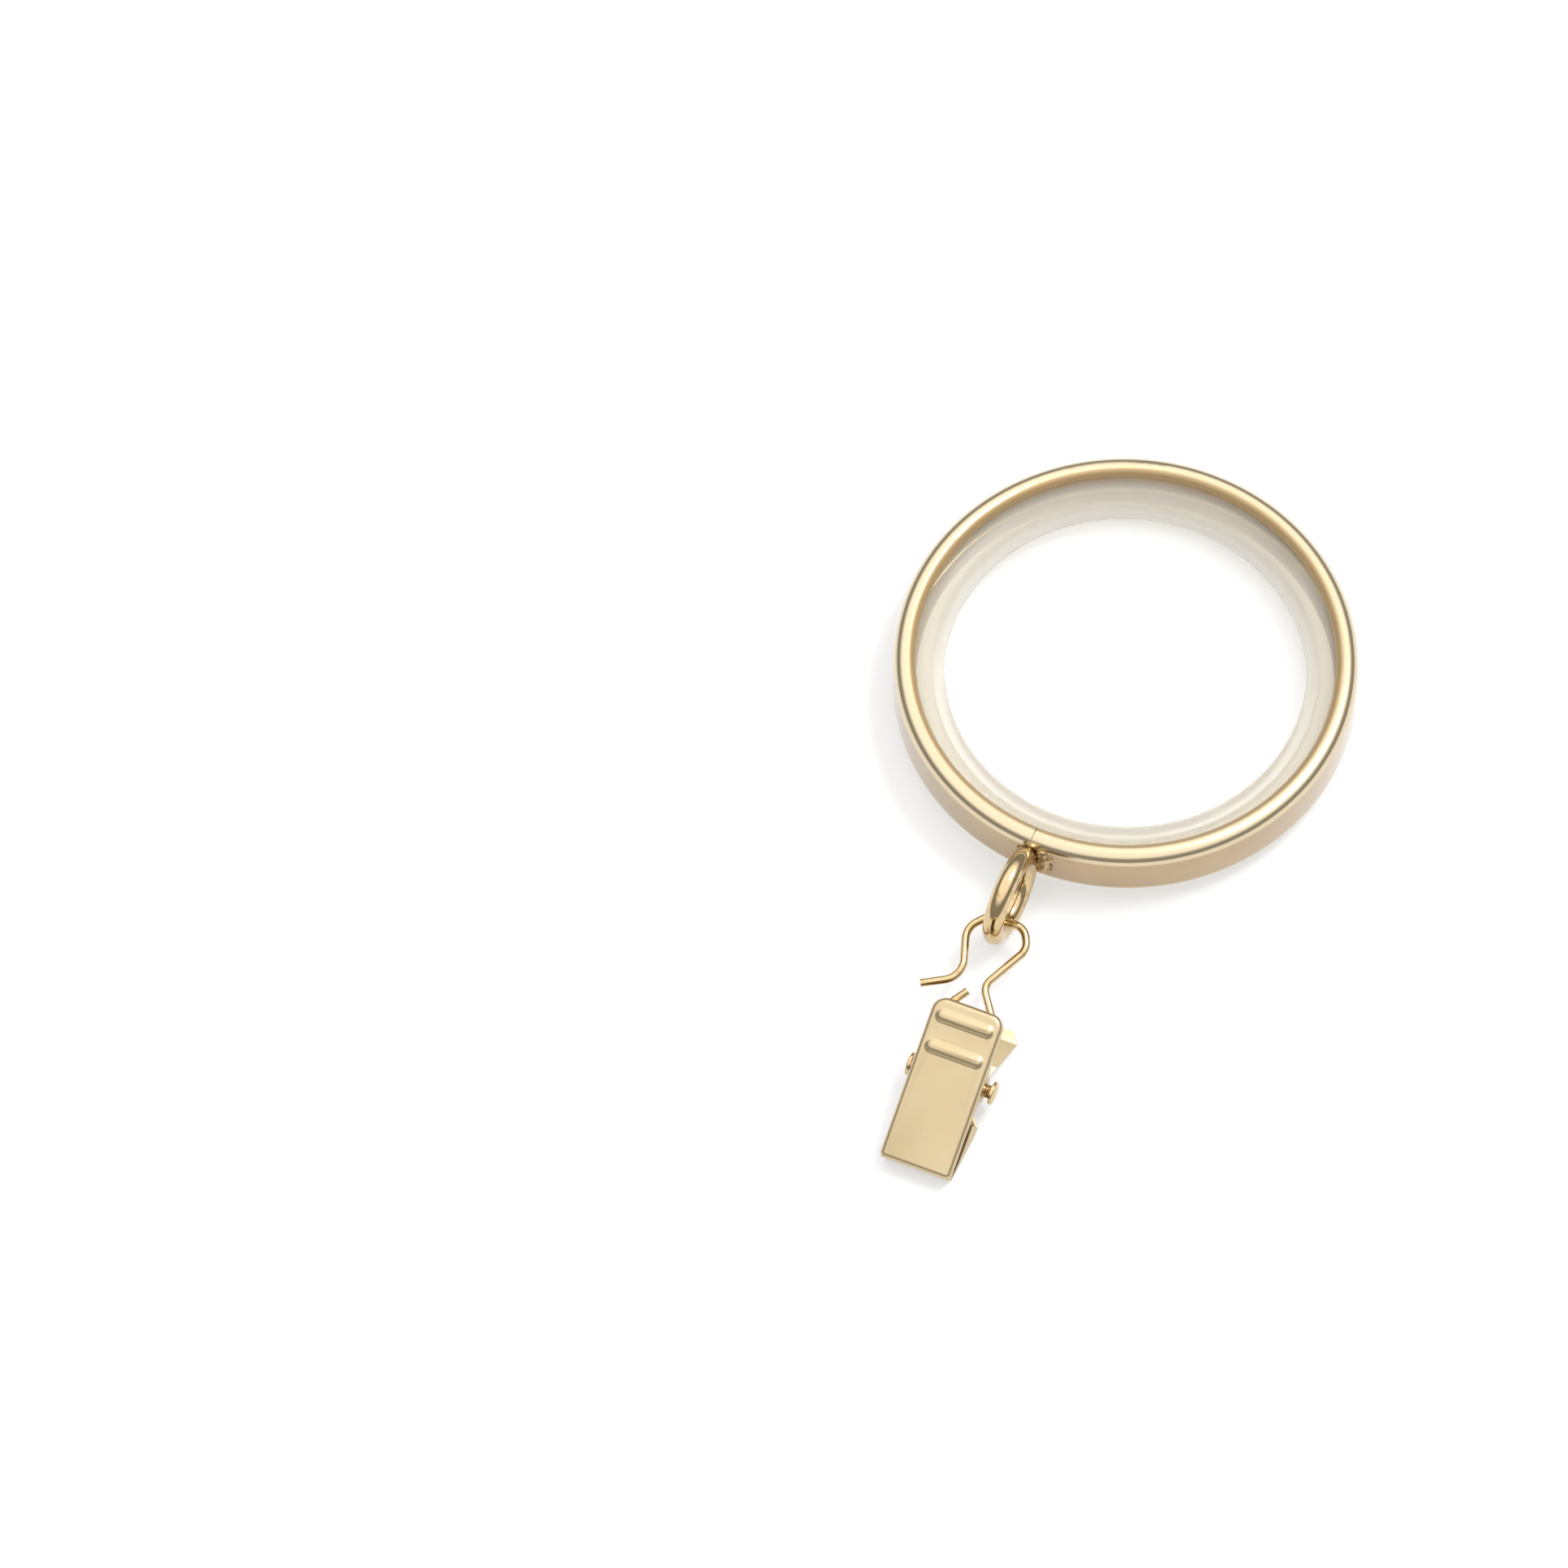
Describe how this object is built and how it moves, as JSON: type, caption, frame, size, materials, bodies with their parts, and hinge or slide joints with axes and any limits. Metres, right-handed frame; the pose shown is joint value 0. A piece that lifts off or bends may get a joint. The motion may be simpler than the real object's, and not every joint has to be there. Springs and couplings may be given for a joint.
{
  "type": "curtain ring with clip",
  "caption": "Brass-plated curtain ring with a white plastic liner, a welded wire eyelet and a sprung clip that hangs from it by a wire hook.",
  "frame": {"origin": "centre of the ring's bore, at mid height of the band", "axes": "+Z along the bore axis, -Y from the bore's centre towards the eyelet and the clip"},
  "size_m": [0.06, 0.1041, 0.0151],
  "materials": {
    "plated_band": "satin",
    "plated_wire": "polished",
    "plated_clip": "satin",
    "liner": "smooth, slightly translucent"
  },
  "bodies": {
    "ring": {"ring_band": "plated_band", "ring_liner": "liner", "eyelet": "plated_wire", "eyelet_weld": "plated_wire"},
    "clip": {"spring_hook": "plated_wire", "rear_jaw": "plated_clip", "pivot_pin": "plated_wire"},
    "front": {"front_jaw": "plated_clip"}
  },
  "joints": [
    {"name": "hook_swing", "type": "hinge", "parent": "ring", "child": "clip", "pos_m": [0, -0.03852, -0.0024], "axis": [1, 0, 0], "range_deg": [-80, 80]},
    {"name": "jaw_open", "type": "hinge", "parent": "clip", "child": "front", "pos_m": [0.00336, -0.06101, -0.00448], "axis": [-0.9989, -0.0471, 0], "range_deg": [0, 30], "stiffness_Nm_per_rad": 0.03, "springref_deg": -40.11, "deforming": ["spring_hook"]}
  ]
}
